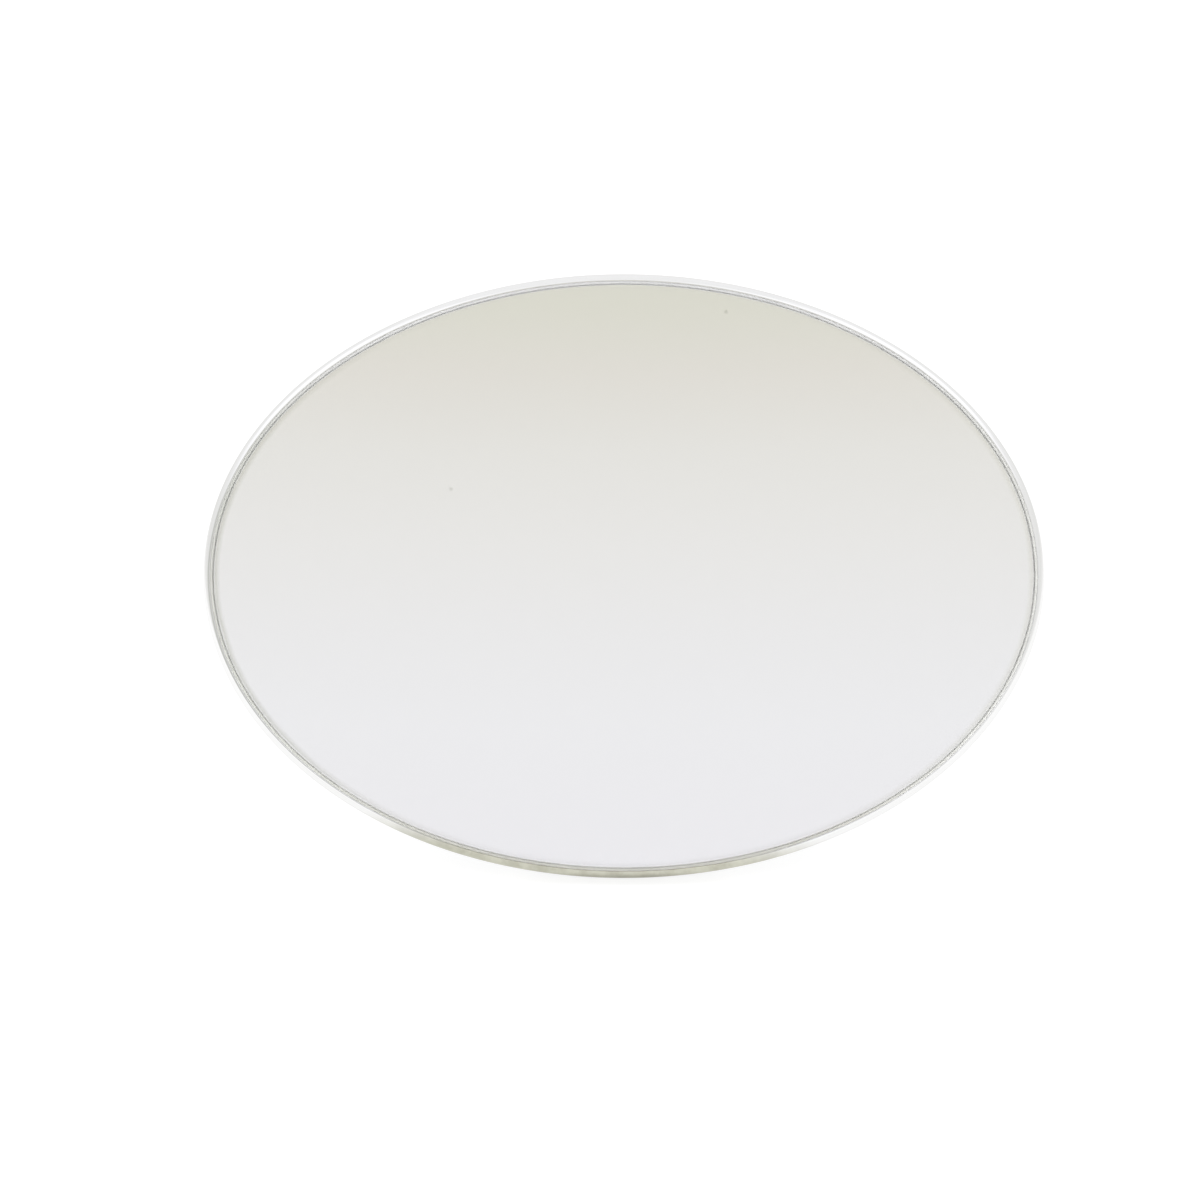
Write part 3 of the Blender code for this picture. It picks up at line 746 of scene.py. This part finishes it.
def front_foot(material):
    """The rubber block behind the rim's lowest part, bowed in front, with grooves across its sole."""
    front, back, pan = RIM_DEPTH + 0.2 * MM, 17.5 * MM, PAN_BACK + 0.3 * MM
    half, top, bow, corner, past = 18 * MM, -79.5 * MM, 4.5 * MM, 1 * MM, 1 * MM
    section = [(front, counter_line(front, HEAD)), (back, counter_line(back, HEAD))]
    section += [(back, -84 * MM), (back - 2 * MM, top), (pan, top)]
    section += [(pan, -88.2 * MM), (front, -92.3 * MM)]
    block = prism(rounded_outline(section, 0.5 * MM, 4), "X", -half, half)
    curve = [half * share / 12 for share in range(-12, 13)]
    plan_outline = [(x, front + bow * (x / half) ** 2) for x in curve]
    plan_outline += [(half, back - corner), (half - corner, back)]
    plan_outline += [(corner - half, back), (-half, back - corner)]
    plan = prism(plan_outline, "Z", -110 * MM, -70 * MM)
    block = combine(block, plan, "INTERSECT")
    low = [(y, counter_line(y, HEAD)) for y in (front - past, back + past)]
    outline = [(y, z - past) for y, z in low] + [(y, z + GROOVE_DEPTH) for y, z in reversed(low)]
    groove = 0.5 * MM  # half a groove's width
    places = (-12 * MM, -6 * MM, 0.0, 6 * MM, 12 * MM)
    grooves = [prism(outline, "X", x - groove, x + groove) for x in places]
    shape = combine(block, join(bmesh.new(), *grooves), "DIFFERENCE")
    shank, barb, tip = 2.5 * MM, 3.4 * MM, PAN_BACK - 1.2 * MM
    stem = turned([(shank, pan + 2 * MM), (shank, tip), (barb, tip)], "Y")
    shape = join(shape, moved(stem, z=-83.5 * MM))
    made = piece("front_rubber_foot", shape, HEAD, "head", material, "front_foot", slot="black_rubber")
    soften(made, 0.4 * MM)


# ---------------------------------------------------- hinge and leg pieces


def ring(bore, radius, start, end, dish=0.0, edge=0.12 * MM):
    """A washer's section with broken edges; dish moves its bore along the axis."""
    profile = [(bore, start + dish + edge), (bore + edge, start + dish), (radius - edge, start)]
    profile += [(radius, start + edge), (radius, end - edge), (radius - edge, end)]
    return profile + [(bore + edge, end + dish), (bore, end + dish - edge)]


def hinge_hardware(steel, zinc_plate, white_nylon):
    """Every turned piece on the hinge axis."""
    gap = 0.2 * MM
    tube = EAR_INNER - gap
    axis_in_head = HEAD @ Matrix.Translation((0, HINGE_DEPTH, HINGE_RISE))
    shape = turned(ring(BORE, 3.5 * MM, -tube, tube), "X", closed=True)
    piece("spacer", shape, axis_in_head, "head", zinc_plate, "spacer_tube", slot="zinc_plate")
    for side, name in ((-1, "left"), (1, "right")):
        start, end = sorted((side * (EAR_OUTER + gap), side * (LEG_TOP_HALF - LEG_SHEET - gap)))
        shape = turned(ring(BORE, 4.4 * MM, start, end), "X", closed=True)
        node = f"friction_washer_{name}"
        piece(f"nylon_washer_{name}", shape, axis_in_head, "head", white_nylon, node, slot="white_nylon")

    seat = LEG_TOP_HALF + gap
    rows = (  # piece, node, material, slot, then radius, start, end and dish in millimetres past the seat
        ("flat_washer", "plain_washer", zinc_plate, "zinc_plate", 4.5, 0, 0.8, 0),
        ("spring_disc_1", "disc_spring_1", steel, "dark_steel", 4, 1, 1.5, 0.5),
        ("spring_disc_2", "disc_spring_2", steel, "dark_steel", 4, 2.7, 3.2, -0.5),
    )
    for name, node, material, slot, radius, start, end, dish in rows:
        section = ring(BORE, radius * MM, seat + start * MM, seat + end * MM, dish * MM)
        piece(name, turned(section, "X", closed=True), LEG, "leg", material, node, slot=slot)

    face = seat + 3.4 * MM
    lock_nut(zinc_plate, face)
    hinge_bolt(steel, seat, face + 5.8 * MM)


def lock_nut(material, face):
    """A hexagon with chamfered corners and a round locking collar."""
    flats, height, chamfer = 3.5 * MM, 3.2 * MM, 0.35 * MM
    corners = flats / math.cos(math.radians(30))
    inner, outer, top = flats - 0.05 * MM, corners + 0.05 * MM, face + height
    hexagon = prism(list(arc((0, 0), corners, 0, 300, 5)), "X", face, top)
    blank = [(inner, face), (outer, face + chamfer), (outer, top - chamfer), (inner, top)]
    shape = combine(hexagon, turned(blank, "X", steps=96), "INTERSECT")
    collar_radius, bend, shoulder, bore_radius = 3.1 * MM, 0.5 * MM, face + 4 * MM, 2.1 * MM
    collar = [(collar_radius, shoulder - 2 * MM), (collar_radius, shoulder)]
    centre = collar_radius - bend
    collar += [(centre + bend * math.cos(t), shoulder + bend * math.sin(t)) for t in quarter(6)]
    shape = combine(shape, turned(collar, "X"), "UNION")
    bore = turned([(bore_radius, face - 1 * MM), (bore_radius, face + 6 * MM)], "X")
    piece("nut", combine(shape, bore, "DIFFERENCE"), LEG, "leg", material, "lock_nut", slot="zinc_plate")


def hinge_bolt(material, seat, end):
    """A button-head bolt with a hexagon socket, its thread showing past the nut."""
    head_radius, head_height, skirt, edge, flat = 3.8 * MM, 2.2 * MM, 0.3 * MM, 0.08 * MM, 1.7 * MM
    dome_radius, dome_height = head_radius - flat, head_height - skirt
    profile = [(flat, -seat - head_height)]
    for t in quarter(12):
        profile.append((flat + dome_radius * math.sin(t), -seat - skirt - dome_height * math.cos(t)))
    profile += [(head_radius, -seat - edge), (head_radius - edge, -seat), (BOLT, -seat)]
    pitch = 0.7 * MM
    thread_start, root = end - 7 * MM, BOLT - 0.38 * MM
    profile.append((BOLT, thread_start))
    for turn in range(9):
        along = thread_start + pitch * turn
        profile += [(root, along + 0.3 * pitch), (root, along + 0.42 * pitch)]
        profile += [(BOLT, along + 0.85 * pitch), (BOLT, along + 0.98 * pitch)]
    profile += [(BOLT - 0.4 * MM, end)]
    socket_outline = list(arc((0, 0), 1.45 * MM, 0, 300, 5))
    socket = prism(socket_outline, "X", -seat - head_height - 1 * MM, -seat - 0.9 * MM)
    shape = combine(turned(profile, "X"), socket, "DIFFERENCE")
    piece("button_bolt", shape, LEG, "leg", material, "hinge_bolt", slot="dark_steel")


def half_width(height):
    """Half the leg's width at this height: straight past the hinge, then flared, then straight."""
    flare = min(max((FLARE_START - height) / (FLARE_START - FLARE_END), 0), 1)
    return LEG_TOP_HALF + (LEG_FOOT_HALF - LEG_TOP_HALF) * flare


def flange_edge(height):
    """How near the mirror the flanges reach: round the pivot eye, cut back above it."""
    cut_back, cut_top = WEB_INNER - 0.8 * MM, 7.5 * MM
    leaves_eye, eye_depth = EYE * 0.94, EYE * 0.34
    if height > cut_top:
        return cut_back
    if height >= leaves_eye:
        return cut_back - (cut_top - height) / (cut_top - leaves_eye) * (cut_back + eye_depth)
    if height > -EYE:
        return -math.sqrt(max(EYE**2 - height**2, 0))
    return min(FLANGE_EDGE, (-EYE - height) / (5.4 * MM) * FLANGE_EDGE)


def rib(across, height):
    """How far the pressed rib stands out of the web."""
    side = smooth_step((RIB_HALF + RIB_SIDE - abs(across)) / RIB_SIDE)
    run_out = 6 * MM
    ends = smooth_step((RIB_TOP + run_out / 3 - height) / run_out)
    ends *= smooth_step((height - RIB_BOTTOM + run_out / 3) / run_out)
    return RIB_RISE * side * ends


def channel_ring(height):
    """The leg's section at one height: flanges, rounded bends and a web with its rib."""
    half, edge = half_width(height), flange_edge(height)
    bend, inner_bend = 1.6 * MM, 0.4 * MM
    across = [share * (half - bend) for share in (1, 0.9, 0.8, 0.7)]
    across += [RIB_HALF + RIB_SIDE * (1 - i / 6) for i in range(7)]
    across += [RIB_HALF * (1 - i / 3) for i in range(1, 4)]
    across = sorted({min(x, half - bend) for x in across}, reverse=True)
    outer = [(half, edge), (half, WEB_OUTER - bend)]
    outer += arc((half - bend, WEB_OUTER - bend), bend, 0, 90, 6)
    outer += [(x, WEB_OUTER + rib(x, height)) for x in across[1:]]
    inner = [(half - LEG_SHEET, edge), (half - LEG_SHEET, WEB_INNER - inner_bend)]
    inner += arc((half - LEG_SHEET - inner_bend, WEB_INNER - inner_bend), inner_bend, 0, 90, 6)
    inner += [(x, WEB_INNER + rib(x, height)) for x in across[1:]]
    section = outer + [(-x, y) for x, y in reversed(outer[:-1])]
    section += [(-x, y) for x, y in inner] + list(reversed(inner[:-1]))
    return [Vector((x, y, height)) for x, y in section]


def easel_leg(material):
    heights = [LEG_TAIL, LEG_TAIL - 0.5 * MM, 9 * MM, 7.5 * MM, 6 * MM]
    heights += [EYE * math.cos(math.radians(angle)) for angle in range(20, 181, 10)]
    heights += [-7 * MM, -10 * MM, -12 * MM, -14 * MM, -17 * MM]
    heights += [RIB_TOP + 2 * MM - 0.75 * MM * i for i in range(10)]
    heights += [RIB_TOP - 6 * MM - (RIB_TOP - 6 * MM - RIB_BOTTOM - 6 * MM) * i / 12 for i in range(1, 13)]
    heights += [RIB_BOTTOM + 5.2 * MM - 0.75 * MM * i for i in range(10)]
    heights += [-103 * MM, -106 * MM, -110 * MM, LEG_END]
    rings = [channel_ring(height) for height in sorted(set(heights), reverse=True)]
    shape = loft(rings)
    bore = turned([(LEG_BORE, -20 * MM), (LEG_BORE, 20 * MM)], "X")
    shape = combine(shape, bore, "DIFFERENCE")
    piece("pressed_leg", shape, LEG, "leg", material, "easel_leg", slot="black_powder_coat", sharp=40)


def leg_boots(material):
    """Rubber caps on the leg's lower corners, each with a pocket for the leg and a grooved sole."""
    fit, groove = 0.2 * MM, 0.45 * MM  # clearance round the leg, and half a groove's width
    front, back = -1.5 * MM, WEB_OUTER + 1.7 * MM
    inner_x, outer_x, top = 23 * MM, 37.6 * MM, -110.1 * MM
    web_x, flange_x = LEG_FOOT_HALF + fit, LEG_FOOT_HALF - LEG_SHEET - fit
    web_front, web_back, edge = WEB_INNER - fit, WEB_OUTER + fit, FLANGE_EDGE - fit
    open_x = inner_x - 2 * MM
    pocket = [(web_x, edge), (web_x, web_back), (open_x, web_back)]
    pocket += [(open_x, web_front), (flange_x, web_front), (flange_x, edge)]
    low = [(front, counter_line(front, LEG)), (back, counter_line(back, LEG))]
    for side, name in ((-1, "left"), (1, "right")):
        block = prism(low + [(back, top), (front, top)], "X", side * inner_x, side * outer_x)
        hollow = prism([(side * x, y) for x, y in pocket], "Z", LEG_END - fit, top + 5 * MM)
        shape = combine(block, hollow, "DIFFERENCE")
        grooves = []
        for x in (26.5 * MM, 30.3 * MM, 34.1 * MM):
            outline = [(y - 1 * MM if y < 0 else y + 1 * MM, z - 1 * MM) for y, z in low]
            outline += [(y, z + GROOVE_DEPTH) for y, z in reversed(low)]
            grooves.append(prism(outline, "X", side * x - groove, side * x + groove))
        shape = combine(shape, join(bmesh.new(), *grooves), "DIFFERENCE")
        node = f"leg_foot_{name}"
        made = piece(f"rubber_boot_{name}", shape, LEG, "leg", material, node, slot="black_rubber")
        soften(made, 0.55 * MM)


# ----------------------------------------------------------------- studio


def floor():
    """A plain white table of lit acrylic, which keeps shadows faint."""
    bm = bmesh.new()
    bmesh.ops.create_circle(bm, cap_ends=True, radius=30, segments=96)
    mesh = bpy.data.meshes.new("floor")
    bm.to_mesh(mesh)
    bm.free()
    obj = bpy.data.objects.new("floor", mesh)
    bpy.context.scene.collection.objects.link(obj)
    finish = Finish("floor_white", (0.25, 0.25, 0.25), 0.0, 0.7)
    finish.drive("Roughness", finish.spread(finish.noise(12, 3), 0.65, 0.8))
    finish.shader.inputs["Specular IOR Level"].default_value = 0.1
    finish.shader.inputs["Emission Color"].default_value = (1, 1, 1, 1)
    finish.shader.inputs["Emission Strength"].default_value = 0.86
    finish.material.cycles.emission_sampling = "NONE"
    mesh.materials.append(finish.material)


def off_glass(turn, off):
    """The direction this far off the line square to the glass, towards this turn round the oval."""
    turn, off = math.radians(turn), math.radians(off)
    outward = Vector((math.cos(turn), math.sin(turn) * math.sin(LEAN), math.sin(turn) * math.cos(LEAN)))
    return math.cos(off) * SQUARE_ON + math.sin(off) * outward


def world():
    """A pale room with soft patches, and in front of the glass a panel, lilac below and olive above."""
    made = bpy.data.worlds.new("studio")
    made.use_nodes = True
    bpy.context.scene.world = made
    room = Nodes(made.node_tree, "Generated")
    colour = room.shades(room.axis("Z"), ROOM)
    for turn, off, outside, inside, patch in PATCHES:
        start, end = math.cos(math.radians(outside)), math.cos(math.radians(inside))
        near = room.spread(room.along(off_glass(turn, off)), 0, 1, start, end, "SMOOTHSTEP")
        colour = room.mix(near, colour, patch)
    in_panel = room.spread(room.along(SQUARE_ON), 0, 1, *PANEL_EDGE, "SMOOTHSTEP")
    background = made.node_tree.nodes["Background"]
    colour = room.mix(in_panel, colour, room.shades(room.axis("Z"), PANEL))
    made.node_tree.links.new(colour, background.inputs["Color"])


def softbox(name, position, size, power):
    """A soft light that shines on matt surfaces. The room's patches stand for it in the polished ones."""
    light = bpy.data.lights.new(name, "AREA")
    light.shape = "RECTANGLE"
    light.size, light.size_y = size
    light.energy = power
    obj = bpy.data.objects.new(name, light)
    obj.location = position
    obj.rotation_mode = "QUATERNION"
    obj.rotation_quaternion = (MIRROR_MIDDLE - Vector(position)).to_track_quat("-Z", "Y")
    obj.visible_glossy = False
    bpy.context.scene.collection.objects.link(obj)


def camera():
    """Looks square on to the glass, with the oval a little right of and above the middle."""
    data = bpy.data.cameras.new("camera")
    data.lens = 85
    data.sensor_width = 36
    obj = bpy.data.objects.new("camera", data)
    share = 0.7033  # of the picture's width, taken up by the oval
    off_centre = Vector((0.0199, 0.0200, 0))  # the oval's middle, in picture widths
    picture = OVAL_WIDTH / share
    distance = picture / (data.sensor_width / data.lens)
    turn = (-SQUARE_ON).to_track_quat("-Z", "Y")
    aim = MIRROR_MIDDLE - turn @ off_centre * picture
    obj.location = aim + SQUARE_ON * distance
    obj.rotation_mode = "QUATERNION"
    obj.rotation_quaternion = turn
    bpy.context.scene.collection.objects.link(obj)
    bpy.context.scene.camera = obj


def main():
    chrome, zinc_plate, steel = polished_chrome(), zinc(), black_oxide()
    coat, black_rubber, white_nylon = powder_coat(), rubber(), nylon()
    rim(chrome)
    sealant_bead(sealant())
    glass(clear_glass())
    silver(silvering())
    frame["nodes"]["foam_pad"].data.materials.clear()
    frame["nodes"]["foam_pad"].data.materials.append(foam())
    back_plate(coat)
    bracket(zinc_plate)
    rivets(zinc_plate)
    front_foot(black_rubber)
    hinge_hardware(steel, zinc_plate, white_nylon)
    easel_leg(coat)
    leg_boots(black_rubber)

    floor()
    world()
    softbox("key", (-1.0, -0.5, 1.35), (1.1, 0.9), 6)
    softbox("fill", (1.05, -0.5, 1.3), (1.1, 0.8), 5)
    camera()
    bpy.context.scene.view_settings.view_transform = "Standard"


main()
